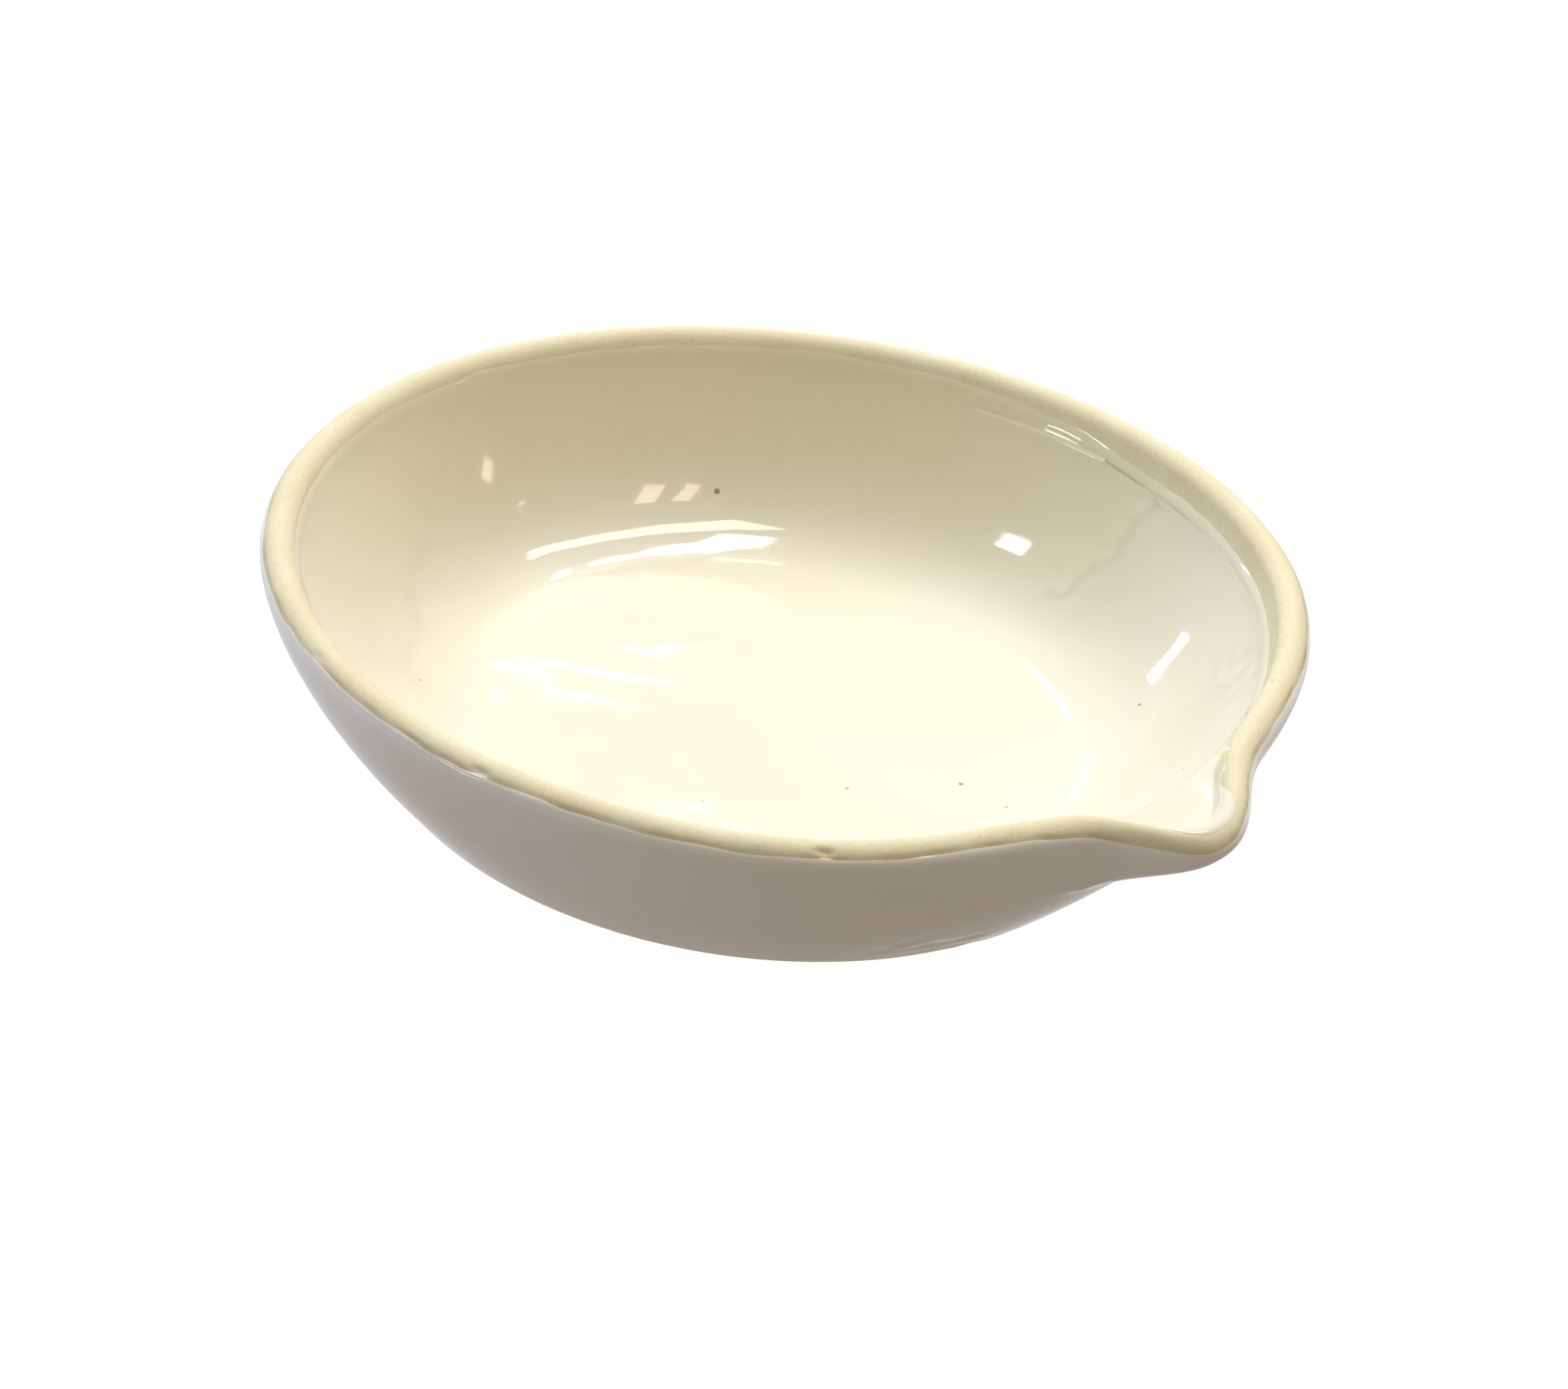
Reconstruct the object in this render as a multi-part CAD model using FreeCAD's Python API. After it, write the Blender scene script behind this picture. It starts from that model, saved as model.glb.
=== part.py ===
import FreeCAD, Part
import math
import os

from FreeCAD import Vector

# A shallow porcelain evaporating dish with a flat foot and one pouring lip.
# Frame: origin at the middle of the flat foot, +Z up, the pouring lip towards +X.
# The dish is one fired body with a glaze coat inside and a glaze coat outside. Its wall is
# a free form: every upright section round it is a blend of two profiles, the plain wall and
# the wall pressed out into the lip. Rows of points along the profiles, swept round the dish,
# are the control nets of its surfaces. The coats share their surface with the body.

SIZES = [
    ("rim_radius", 44.9, "outer radius of the round rim"),
    ("foot_radius", 32.6, "radius of the flat foot"),
    ("dish_height", 19.6, "foot to top of rim"),
    ("rim_lead", 2.3, "how far the rim's middle lies ahead of the foot's, towards the lip"),
    ("left_pinch", 2.1, "how far the rim is drawn in on the lip's +Y side"),
    ("left_pinch_angle", 26.0, "degrees from the lip to the middle of that pinch"),
    ("left_pinch_spread", 36.0, "degrees over which it dies away"),
    ("right_pinch", 1.3, "how far the rim is drawn in on the lip's -Y side"),
    ("right_pinch_angle", -19.0, "degrees from the lip to the middle of that pinch"),
    ("right_pinch_spread", 14.0, "degrees over which it dies away"),
    ("lip_reach", 5.9, "how far the lip stands out of the round rim"),
    ("lip_left_angle", 11.0, "degrees from the lip's middle to its flank on the +Y side"),
    ("lip_right_angle", 6.5, "degrees from the lip's middle to its flank on the -Y side"),
    ("lip_bluntness", 2.15, "power of the lip's outline, higher is blunter"),
    ("lip_depth", 10.4, "height of wall that the lip is drawn out of"),
    ("lip_brow", 2.3, "how far the lip's outer side drops before it turns in underneath"),
    ("channel_depth", 2.5, "rim top down to the floor of the pouring channel"),
    ("sill_round", 0.8, "rounding where the inner wall turns out into the channel"),
    ("wall_thickness", 2.8, "wall at the rim, which is rounded over all of it"),
    ("wall_fullness", 1.38, "power of the outer wall's curve, 1 is a straight cone"),
    ("floor_thickness", 2.9, "porcelain under the middle of the floor"),
    ("floor_radius", 27.0, "radius of the floor's flat middle"),
    ("cove_height", 5.5, "height on the outer wall beside which the cove ends"),
    ("inner_glaze_turn", 15.0, "degrees of the rim's rounding under the inner coat"),
    ("outer_glaze_turn", 33.0, "degrees of the rim's rounding under the outer coat"),
    ("glaze_thickness", 0.15, "thickness of each glaze coat"),
    ("foot_margin", 0.5, "height of bare porcelain left above the foot"),
]

# How finely the nets are laid: angles round the dish, which crowd towards the lip, and rows
# along each stretch of the profiles.
NET_ANGLES = 120
ANGLE_CROWDING = 0.75
WALL_ROWS = 14
COVE_ROWS = 8
FEATHER_ROWS = 4
SILL_ROWS = 5
CHANNEL_ROWS = 4
RISE_ROWS = 4
RIM_ROWS = 12
GLAZED_RIM_ROWS = 4
UNDERSIDE_ROWS = 12
MARGIN_ROWS = 4

# Where guiding rows lie: the first row's distance inside the floor's edge as a share of its
# radius, the wall's end below the channel in sill roundings, and how much of the lip's depth
# the underside follows the wall before it turns out.
FLOOR_ROW_SHARE = 0.04
SILL_DROP = 2.0
UNDERSIDE_PULL = 0.35

# Millimetres within which two edges are sewn into one.
SEWING_TOLERANCE = 1e-4


def make_sheet(document):
    """The driving dimensions, in millimetres, degrees or plain powers."""
    sheet = document.addObject("Spreadsheet::Sheet", "Sizes")
    for row, (alias, value, meaning) in enumerate(SIZES, start=1):
        sheet.set("A%d" % row, alias)
        sheet.set("B%d" % row, str(value))
        sheet.set("C%d" % row, meaning)
        sheet.setAlias("B%d" % row, alias)
    document.recompute()
    return sheet


def between(start, end, share):
    """The point that lies at a share of the way from start to end."""
    return tuple(a + (b - a) * share for a, b in zip(start, end))


def straight(start, end, count):
    """Rows along a line, without its start."""
    return [between(start, end, step / count) for step in range(1, count + 1)]


def quarter(corner, start, end, count):
    """Rows of a quarter ellipse about corner, from start to end, without its start."""
    rows = []
    for step in range(1, count + 1):
        turn = 0.5 * math.pi * step / count
        rows.append(tuple(c + (s - c) * math.cos(turn) + (e - c) * math.sin(turn)
                          for c, s, e in zip(corner, start, end)))
    return rows


def bezier(points, count):
    """Rows along a Bezier curve, without its start."""
    rows = []
    for step in range(1, count + 1):
        left = points
        while len(left) > 1:
            left = [between(a, b, step / count) for a, b in zip(left, left[1:])]
        rows.append(left[0])
    return rows


def bell(angle, middle, spread, power):
    """A smooth bump, 1 at its middle angle and 0 far from it."""
    return math.exp(-(abs(angle - middle) / spread) ** power)


class Dish:
    """The dish's two upright profiles, and the nets of points that they sweep round it."""

    def __init__(self, sheet):
        for alias, _, _ in SIZES:
            setattr(self, alias, float(sheet.get(alias)))
        self.rim_round = 0.5 * self.wall_thickness
        self.wall_top = self.dish_height - self.rim_round
        turns = [2.0 * math.pi * step / NET_ANGLES - math.pi for step in range(NET_ANGLES)]
        self.angles = [turn - ANGLE_CROWDING * math.sin(turn) for turn in turns]

    def flare(self, height):
        """Share of the way from foot to rim that the outer wall has reached at a height."""
        return 1.0 - max(1.0 - height / self.wall_top, 0.0) ** self.wall_fullness

    def outer_wall(self, top, bottom, count):
        """Rows (radius, height) along the plain outer wall from one height to another."""
        first, last = (math.acos(math.sqrt(1.0 - self.flare(height))) for height in (top, bottom))
        rows = []
        for step in range(count + 1):
            share = math.sin(first + (last - first) * step / count) ** 2
            radius = self.foot_radius + (self.rim_radius - self.foot_radius) * share
            height = self.wall_top * (1.0 - max(1.0 - share, 0.0) ** (1.0 / self.wall_fullness))
            rows.append((radius, height))
        return rows

    def inner_wall(self, bottom, top, count):
        """Rows one wall thickness inside the outer wall, beside it from one height to another."""
        rows = []
        for radius, height in self.outer_wall(bottom, top, count):
            left = max(1.0 - height / self.wall_top, 0.0)
            steepness = self.wall_fullness * left ** (self.wall_fullness - 1.0) / self.wall_top
            lean = math.atan(steepness * (self.rim_radius - self.foot_radius))
            inward = self.wall_thickness * math.cos(lean)
            rows.append((radius - inward, height + self.wall_thickness * math.sin(lean)))
        return rows

    def rim(self, first, last, count):
        """Rows (plain, pressed) over the rounded rim, between two turns in degrees from inside."""
        middle = self.rim_radius - self.rim_round
        rows = []
        for step in range(count + 1):
            turn = math.radians(first + (last - first) * step / count)
            radius = middle - self.rim_round * math.cos(turn)
            height = self.wall_top + self.rim_round * math.sin(turn)
            rows.append(((radius, height), (radius + self.lip_reach, height)))
        return rows

    def inside(self):
        """Rows (plain, pressed) from the flat floor up to the inner glaze line on the rim."""
        channel = self.dish_height - self.channel_depth
        floor = (self.floor_radius, self.floor_thickness)
        wall = self.inner_wall(self.cove_height, channel - SILL_DROP * self.sill_round, WALL_ROWS)
        fall = (wall[0][1] - floor[1]) * (wall[1][0] - wall[0][0]) / (wall[1][1] - wall[0][1])
        corner = (wall[0][0] - fall, floor[1])
        inner_floor = between(floor, (0.0, floor[1]), FLOOR_ROW_SHARE)
        lower = [inner_floor, floor] + bezier([floor, corner, wall[0]], COVE_ROWS) + wall[1:]
        sill = wall[-1]
        over = self.rim(0.0, self.inner_glaze_turn, GLAZED_RIM_ROWS)
        upward = 0.5 * math.dist(over[-1][0], sill) / math.dist(wall[-2], sill)
        ahead = between(wall[-2], sill, 1.0 + upward)
        plain = bezier([sill, ahead, over[-1][0]], SILL_ROWS + CHANNEL_ROWS + RISE_ROWS + GLAZED_RIM_ROWS)
        lip = over[0][1]
        edge = (sill[0] + self.sill_round, channel)
        rise = (lip[0] - self.sill_round, channel)
        pressed = quarter((edge[0], sill[1]), sill, edge, SILL_ROWS)
        pressed += straight(edge, rise, CHANNEL_ROWS)
        pressed += quarter((rise[0], lip[1]), rise, lip, RISE_ROWS)
        pressed += [row for _, row in over[1:]]
        return [(row, row) for row in lower] + list(zip(plain, pressed))

    def bare_rim(self):
        """Rows (plain, pressed) over the rim, between the two glaze lines."""
        return self.rim(self.inner_glaze_turn, 180.0 - self.outer_glaze_turn, RIM_ROWS)

    def outside(self):
        """Rows (plain, pressed) from the outer glaze line on the rim down to the bare margin."""
        root_height = self.dish_height - self.lip_depth
        over = self.rim(180.0 - self.outer_glaze_turn, 180.0, GLAZED_RIM_ROWS)
        plain = self.outer_wall(self.wall_top, root_height, UNDERSIDE_ROWS)
        below = self.outer_wall(root_height, self.foot_margin, WALL_ROWS)
        tip = (self.rim_radius + self.lip_reach, self.wall_top)
        brow = (tip[0], tip[1] - self.lip_brow)
        upward = UNDERSIDE_PULL * self.lip_depth / math.dist(below[1], below[0])
        leave = between(below[1], below[0], 1.0 + upward)
        pressed = [tip] + bezier([tip, brow, leave, below[0]], UNDERSIDE_ROWS)
        return over[:-1] + list(zip(plain, pressed)) + [(row, row) for row in below[1:]]

    def margin(self):
        """Rows (plain, pressed) of bare porcelain from the outer coat down to the flat foot."""
        return [(row, row) for row in self.outer_wall(self.foot_margin, 0.0, MARGIN_ROWS)]

    def point(self, angle, plain, pressed):
        """The place on the dish where the blend of two profile points lies at an angle."""
        off = math.degrees(math.atan2(math.sin(angle), math.cos(angle)))
        flank = self.lip_left_angle if off > 0.0 else self.lip_right_angle
        radius, height = between(plain, pressed, bell(off, 0.0, flank, self.lip_bluntness))
        left = self.left_pinch * bell(off, self.left_pinch_angle, self.left_pinch_spread, 2.0)
        right = self.right_pinch * bell(off, self.right_pinch_angle, self.right_pinch_spread, 2.0)
        radius -= (left + right) * height / self.dish_height
        lead = self.rim_lead * self.flare(height)
        return Vector(lead + radius * math.cos(angle), radius * math.sin(angle), height)

    def net(self, rows):
        """Points of a surface round the dish: one list for each angle, one point for each row."""
        return [[self.point(angle, plain, pressed) for plain, pressed in rows] for angle in self.angles]


def thickened(net, thickness, shares):
    """A net laid over another, raised along its normals by a share of the thickness per row."""
    raised = []
    for index, column in enumerate(net):
        ahead = net[(index + 1) % len(net)]
        behind = net[index - 1]
        points = []
        for row, point in enumerate(column):
            along = column[min(row + 1, len(column) - 1)] - column[max(row - 1, 0)]
            normal = along.cross(ahead[row] - behind[row]).normalize()
            points.append(point + normal * thickness * shares[row])
        raised.append(points)
    return raised


def closed_surface(net):
    """The smooth surface that a net controls, closed round the dish and open at both its ends."""
    spans = len(net[0]) - 3
    surface = Part.BSplineSurface()
    surface.buildFromPolesMultsKnots(
        net,
        [1] * (len(net) + 1),
        [4] + [1] * (spans - 1) + [4],
        [float(step) for step in range(len(net) + 1)],
        [float(step) for step in range(spans + 1)],
        True,
        False,
        3,
        3,
    )
    return surface


def disc(surface, end):
    """The flat face that fills the first or the last end of a closed surface."""
    bounds = surface.bounds()
    edge = surface.vIso(bounds[2] if end == "first" else bounds[3]).toShape()
    return Part.Face(Part.Wire([edge]))


def solid_of(faces):
    """One closed solid from faces that meet edge to edge."""
    shell = Part.Shell(faces)
    shell.sewShape(SEWING_TOLERANCE)
    solid = Part.Solid(Part.Shell(shell.Faces))
    if solid.Volume < 0.0:
        solid.reverse()
    return solid


def feather(count, ends):
    """Share of a coat's thickness at each row, thinned over the rows next to the named ends."""
    shares = [1.0] * count
    for step in range(FEATHER_ROWS):
        share = math.sqrt(1.0 - (1.0 - step / FEATHER_ROWS) ** 2)
        if "first" in ends:
            shares[step] = share
        if "last" in ends:
            shares[-1 - step] = share
    return shares


def dish_body(dish):
    """The fired porcelain body: glazed inside, bare rim, glazed outside, bare foot."""
    inside = closed_surface(dish.net(dish.inside()))
    margin = closed_surface(dish.net(dish.margin()))
    between_them = [closed_surface(dish.net(rows)) for rows in (dish.bare_rim(), dish.outside())]
    walls = [surface.toShape() for surface in [inside] + between_them + [margin]]
    return solid_of(walls + [disc(inside, "first"), disc(margin, "last")])


def interior_glaze(dish):
    """The coat that lines the bowl and the pouring channel, up to the inner glaze line."""
    net = dish.net(dish.inside())
    under = closed_surface(net)
    over = closed_surface(thickened(net, dish.glaze_thickness, feather(len(net[0]), ["last"])))
    return solid_of([under.toShape(), over.toShape(), disc(under, "first"), disc(over, "first")])


def exterior_glaze(dish):
    """The coat on the outer wall, from the outer glaze line down to the bare margin."""
    net = dish.net(dish.outside())
    under = closed_surface(net)
    over = closed_surface(thickened(net, dish.glaze_thickness, feather(len(net[0]), ["first", "last"])))
    return solid_of([under.toShape(), over.toShape()])


def make_part(document, name, shape):
    """The object of the document that holds one sub-part."""
    part = document.addObject("Part::Feature", name)
    part.Label = name
    part.Shape = shape
    part.Placement = FreeCAD.Placement()
    return part


def check(document, parts):
    """Stop before anything is written if an object failed or a shape isn't one sound solid."""
    for item in document.Objects:
        if "Invalid" in item.State or "Error" in item.State:
            raise RuntimeError("%s failed: %s" % (item.Label, item.State))
    for part in parts:
        if part.Shape.isNull() or not part.Shape.isValid() or not part.Shape.isClosed():
            raise RuntimeError("%s has no sound shape" % part.Label)


def main():
    document = FreeCAD.newDocument("EvaporatingDish")
    dish = Dish(make_sheet(document))
    makers = {
        "dish_body": dish_body,
        "interior_glaze": interior_glaze,
        "exterior_glaze": exterior_glaze,
    }
    parts = [make_part(document, name, maker(dish)) for name, maker in makers.items()]
    document.recompute()
    check(document, parts)
    os.makedirs("parts", exist_ok=True)
    for part in parts:
        part.Shape.exportStep("parts/%s.step" % part.Label)
        print("%-16s %8.1f mm3  %s" % (part.Label, part.Shape.Volume, part.Shape.BoundBox))


main()
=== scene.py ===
import math

import bmesh
import bpy
import numpy as np
from mathutils import Matrix, Quaternion, Vector


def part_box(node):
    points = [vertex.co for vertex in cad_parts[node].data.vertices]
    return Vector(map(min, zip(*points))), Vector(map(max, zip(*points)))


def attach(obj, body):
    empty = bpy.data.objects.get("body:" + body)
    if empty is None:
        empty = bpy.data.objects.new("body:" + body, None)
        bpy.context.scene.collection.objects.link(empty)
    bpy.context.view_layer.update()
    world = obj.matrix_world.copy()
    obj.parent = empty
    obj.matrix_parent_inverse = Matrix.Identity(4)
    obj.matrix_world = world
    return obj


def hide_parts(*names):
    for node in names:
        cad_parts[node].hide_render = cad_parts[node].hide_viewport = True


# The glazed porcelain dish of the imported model, rebuilt with the detail of a real one: a bare,
# sandy rim, two glaze coats with wandering, rolled edges, a glaze run, uneven glaze and kiln specks.
# Lengths are in millimetres here and become metres when a mesh or an object is made.

MM = 0.001
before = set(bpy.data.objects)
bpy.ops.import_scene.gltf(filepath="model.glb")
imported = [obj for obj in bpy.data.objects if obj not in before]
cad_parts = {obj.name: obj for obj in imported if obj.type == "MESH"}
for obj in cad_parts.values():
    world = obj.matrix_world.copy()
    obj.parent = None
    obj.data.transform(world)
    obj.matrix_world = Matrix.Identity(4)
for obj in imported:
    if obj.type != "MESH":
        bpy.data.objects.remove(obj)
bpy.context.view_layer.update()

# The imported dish's own form, as its part file has it. The wall's sections round the dish blend
# from the plain wall to the wall pressed out into the lip, which points to +X.
DISH_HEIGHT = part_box("dish_body")[1].z / MM
RIM_RADIUS = 44.9
FOOT_RADIUS = 32.6
RIM_LEAD = 2.3
LEFT_PINCH, LEFT_PINCH_ANGLE, LEFT_PINCH_SPREAD = 2.1, 26.0, 36.0
RIGHT_PINCH, RIGHT_PINCH_ANGLE, RIGHT_PINCH_SPREAD = 1.3, -19.0, 14.0
LIP_REACH, LIP_LEFT_ANGLE, LIP_RIGHT_ANGLE, LIP_BLUNTNESS = 5.9, 11.0, 6.5, 2.15
LIP_DEPTH, LIP_BROW = 10.4, 2.3
CHANNEL_DEPTH, SILL_ROUND = 2.5, 0.8
WALL_THICKNESS, WALL_FULLNESS = 2.8, 1.38
FLOOR_THICKNESS, FLOOR_RADIUS, COVE_HEIGHT = 2.9, 27.0, 5.5
RIM_ROUND = 0.5 * WALL_THICKNESS
WALL_TOP = DISH_HEIGHT - RIM_ROUND

# Where the two coats end on the rounded rim, in degrees of turn from its inner side, how thick
# they are, and how far above the foot the outer one stops.
INNER_LINE_TURN = 15.0
OUTER_LINE_TURN = 147.0
GLAZE_THICKNESS = 0.12
FOOT_MARGIN = 0.5

# How finely the form is cut: places round the dish, crowded towards the lip, and rows in one bend.
ROUND_STEPS = 640
ANGLE_CROWDING = 0.45
FINE = 60

# The channel's step begins this many of its own radii down, the lip's underside leaves the wall
# after this share of the lip's depth, and a bend inside the bowl is eased over this distance. The
# easing starts this far before the floor's edge and stops this far before the channel's step.
SILL_DROP = 2.0
UNDERSIDE_PULL = 0.35
BEND_EASING = 2.2
EASED_FLOOR, EASED_SILL = 8.0, 1.0

# Normals are found by stepping this far to each side, and no length is taken to be under TINY.
NORMAL_STEP = 0.02
TINY = 1e-12

# Unevenness that only varies round the dish is taken on a ring of about the rim's size.
RING_RADIUS = 45.0


def between(start, end, share):
    """The point that lies at a share of the way from start to end."""
    return tuple(a + (b - a) * share for a, b in zip(start, end))


def straight(start, end, count):
    """Rows along a line, without its start."""
    return [between(start, end, step / count) for step in range(1, count + 1)]


def quarter(corner, start, end, count):
    """Rows of a quarter ellipse about corner, from start to end, without its start."""
    turns = [0.5 * math.pi * step / count for step in range(1, count + 1)]
    return [tuple(c + (s - c) * math.cos(turn) + (e - c) * math.sin(turn)
                  for c, s, e in zip(corner, start, end)) for turn in turns]


def bezier(points, count):
    """Rows along a Bezier curve, without its start."""
    rows = []
    for step in range(1, count + 1):
        left = points
        while len(left) > 1:
            left = [between(a, b, step / count) for a, b in zip(left, left[1:])]
        rows.append(left[0])
    return rows


def bell(offset, spread, power=2.0):
    """A smooth bump, 1 at offset 0 and 0 far from it."""
    return np.exp(-(np.abs(offset) / spread) ** power)


def ease(value):
    """0 below 0, 1 above 1 and smooth between."""
    held = np.clip(value, 0.0, 1.0)
    return held * held * (3.0 - 2.0 * held)


def flare(height):
    """Share of the way from foot to rim that the outer wall has reached at a height."""
    return 1.0 - np.maximum(1.0 - height / WALL_TOP, 0.0) ** WALL_FULLNESS


def outer_wall(top, bottom, count):
    """Rows (radius, height) along the plain outer wall from one height to another."""
    first, last = (math.acos(math.sqrt(1.0 - flare(height))) for height in (top, bottom))
    rows = []
    for step in range(count + 1):
        share = math.sin(first + (last - first) * step / count) ** 2
        radius = FOOT_RADIUS + (RIM_RADIUS - FOOT_RADIUS) * share
        rows.append((radius, WALL_TOP * (1.0 - max(1.0 - share, 0.0) ** (1.0 / WALL_FULLNESS))))
    return rows


def inner_wall(bottom, top, count):
    """Rows one wall thickness inside the outer wall, beside it from one height to another."""
    rows = []
    for radius, height in outer_wall(bottom, top, count):
        left = max(1.0 - height / WALL_TOP, 0.0)
        steepness = WALL_FULLNESS * left ** (WALL_FULLNESS - 1.0) / WALL_TOP
        lean = math.atan(steepness * (RIM_RADIUS - FOOT_RADIUS))
        rows.append((radius - WALL_THICKNESS * math.cos(lean), height + WALL_THICKNESS * math.sin(lean)))
    return rows


def rim(first, last, count):
    """Rows (plain, pressed) over the rounded rim, between two turns in degrees from inside."""
    rows = []
    for step in range(count + 1):
        turn = math.radians(first + (last - first) * step / count)
        radius = RIM_RADIUS - RIM_ROUND - RIM_ROUND * math.cos(turn)
        height = WALL_TOP + RIM_ROUND * math.sin(turn)
        rows.append(((radius, height), (radius + LIP_REACH, height)))
    return rows


def skin():
    """Rows from the middle of the floor over the rim to the middle of the foot, and named rows."""
    channel = DISH_HEIGHT - CHANNEL_DEPTH
    middle, floor = (0.0, FLOOR_THICKNESS), (FLOOR_RADIUS, FLOOR_THICKNESS)
    wall = inner_wall(COVE_HEIGHT, channel - SILL_DROP * SILL_ROUND, 2 * FINE)
    fall = (wall[0][1] - floor[1]) * (wall[1][0] - wall[0][0]) / (wall[1][1] - wall[0][1])
    cove = bezier([floor, (wall[0][0] - fall, floor[1]), wall[0]], FINE)
    inside = [middle] + straight(middle, floor, FINE) + cove + wall[1:]
    rows = [(row, row) for row in inside]
    marks = {"floor_edge": FINE, "cove_end": 2 * FINE, "sill": len(rows) - 1}

    sill, over = wall[-1], rim(0.0, INNER_LINE_TURN, FINE)
    upward = 0.5 * math.dist(over[-1][0], sill) / math.dist(wall[-2], sill)
    plain = bezier([sill, between(wall[-2], sill, 1.0 + upward), over[-1][0]], 4 * FINE)
    lip = over[0][1]
    edge, rise = (sill[0] + SILL_ROUND, channel), (lip[0] - SILL_ROUND, channel)
    pressed = quarter((edge[0], sill[1]), sill, edge, FINE) + straight(edge, rise, FINE)
    pressed += quarter((rise[0], lip[1]), rise, lip, FINE) + [row for _, row in over[1:]]
    rows += list(zip(plain, pressed))
    marks["inner_line"] = len(rows) - 1

    rows += rim(INNER_LINE_TURN, OUTER_LINE_TURN, 2 * FINE)[1:]
    marks["outer_line"] = len(rows) - 1
    rows += rim(OUTER_LINE_TURN, 180.0, FINE)[1:]

    root_height = DISH_HEIGHT - LIP_DEPTH
    below = outer_wall(root_height, 0.0, 3 * FINE)
    tip = (RIM_RADIUS + LIP_REACH, WALL_TOP)
    leave = between(below[1], below[0], 1.0 + UNDERSIDE_PULL * LIP_DEPTH / math.dist(below[1], below[0]))
    under = bezier([tip, (tip[0], tip[1] - LIP_BROW), leave, below[0]], 2 * FINE)
    rows += list(zip(outer_wall(WALL_TOP, root_height, 2 * FINE)[1:], under))
    rows += [(row, row) for row in below[1:]]
    marks["foot"] = len(rows) - 1
    rows += [(row, row) for row in straight((FOOT_RADIUS, 0.0), (0.0, 0.0), FINE)]
    return np.array([plain + pressed for plain, pressed in rows]), marks


def softened(rows, travel, start, end):
    """The rows with every bend between two distances travelled eased, so that reflections flow on."""
    weights = np.exp(-0.5 * ((travel[:, None] - travel[None, :]) / BEND_EASING) ** 2)
    weights *= np.gradient(travel)[None, :]
    eased = weights @ rows / weights.sum(axis=1, keepdims=True)
    share = ease((travel - start) / (2.0 * BEND_EASING)) * ease((end - travel) / (2.0 * BEND_EASING))
    return rows + share[:, None] * (eased - rows)


SKIN, MARKS = skin()
TRAVEL = np.concatenate([[0.0], np.cumsum(np.hypot(*np.diff(SKIN[:, :2], axis=0).T))])
AT = {name: TRAVEL[row] for name, row in MARKS.items()}
SKIN = softened(SKIN, TRAVEL, AT["floor_edge"] - EASED_FLOOR, AT["sill"] - EASED_SILL)


def place(angle, travel):
    """Points of the dish at angles round it and millimetres travelled along its plain section."""
    columns = [np.interp(travel, TRAVEL, column) for column in SKIN.T]
    plain_radius, plain_height, lip_radius, lip_height = columns
    off = np.degrees(angle)
    flank = np.where(off > 0.0, LIP_LEFT_ANGLE, LIP_RIGHT_ANGLE)
    pressed = bell(off, flank, LIP_BLUNTNESS)
    radius = plain_radius + (lip_radius - plain_radius) * pressed
    height = plain_height + (lip_height - plain_height) * pressed
    pinch = LEFT_PINCH * bell(off - LEFT_PINCH_ANGLE, LEFT_PINCH_SPREAD)
    pinch = pinch + RIGHT_PINCH * bell(off - RIGHT_PINCH_ANGLE, RIGHT_PINCH_SPREAD)
    radius = radius - pinch * height / DISH_HEIGHT
    lead = RIM_LEAD * flare(height)
    return np.stack([lead + radius * np.cos(angle), radius * np.sin(angle), height], axis=-1)


def round_angles():
    """Angles round the dish from the back, crowding towards the lip, as a column."""
    turns = 2.0 * math.pi * np.arange(ROUND_STEPS) / ROUND_STEPS - math.pi
    return (turns - ANGLE_CROWDING * np.sin(turns))[:, None]


def length_at(travel):
    """True millimetres along each section of the dish, from its middle to distances travelled."""
    return np.stack([np.interp(row, TRAVEL, own) for row, own in zip(travel, LENGTH)])


def stretch(start, end, count, power=1.0):
    """Distances travelled from start, which is left out, to end, spread by true length along each
    section. A power above 1 crowds them towards the end, and one below 1 towards the start."""
    shape = (ROUND_STEPS, 1)
    first, last = (length_at(np.broadcast_to(value, shape)) for value in (start, end))
    shares = 1.0 - (1.0 - np.arange(1, count + 1) / count) ** power
    lengths = first + (last - first) * shares[None, :]
    return np.stack([np.interp(row, own, TRAVEL) for row, own in zip(lengths, LENGTH)])


def back_from(travel, distance):
    """The distance travelled that lies a true distance back along each section from another."""
    lengths = length_at(travel) - distance
    return np.stack([np.interp(row, own, TRAVEL) for row, own in zip(lengths, LENGTH)])


ANGLE = round_angles()
LENGTH = np.concatenate([np.zeros((ROUND_STEPS, 1)), np.cumsum(
    np.linalg.norm(np.diff(place(ANGLE, TRAVEL[None, :]), axis=1), axis=-1), axis=1)], axis=1)
RING = RING_RADIUS * np.concatenate([np.cos(ANGLE), np.sin(ANGLE), 0.0 * ANGLE], axis=1)


def normals(angle, travel):
    """Outward normals of the dish at angles and distances, by stepping a little to each side."""
    step = NORMAL_STEP
    turn = 0.5 * step / RIM_RADIUS
    along = place(angle, travel + step) - place(angle, travel - step)
    aside = place(angle + turn, travel) - place(angle - turn, travel)
    outward = np.cross(along, aside)
    return outward / np.maximum(np.linalg.norm(outward, axis=-1, keepdims=True), TINY)


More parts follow.
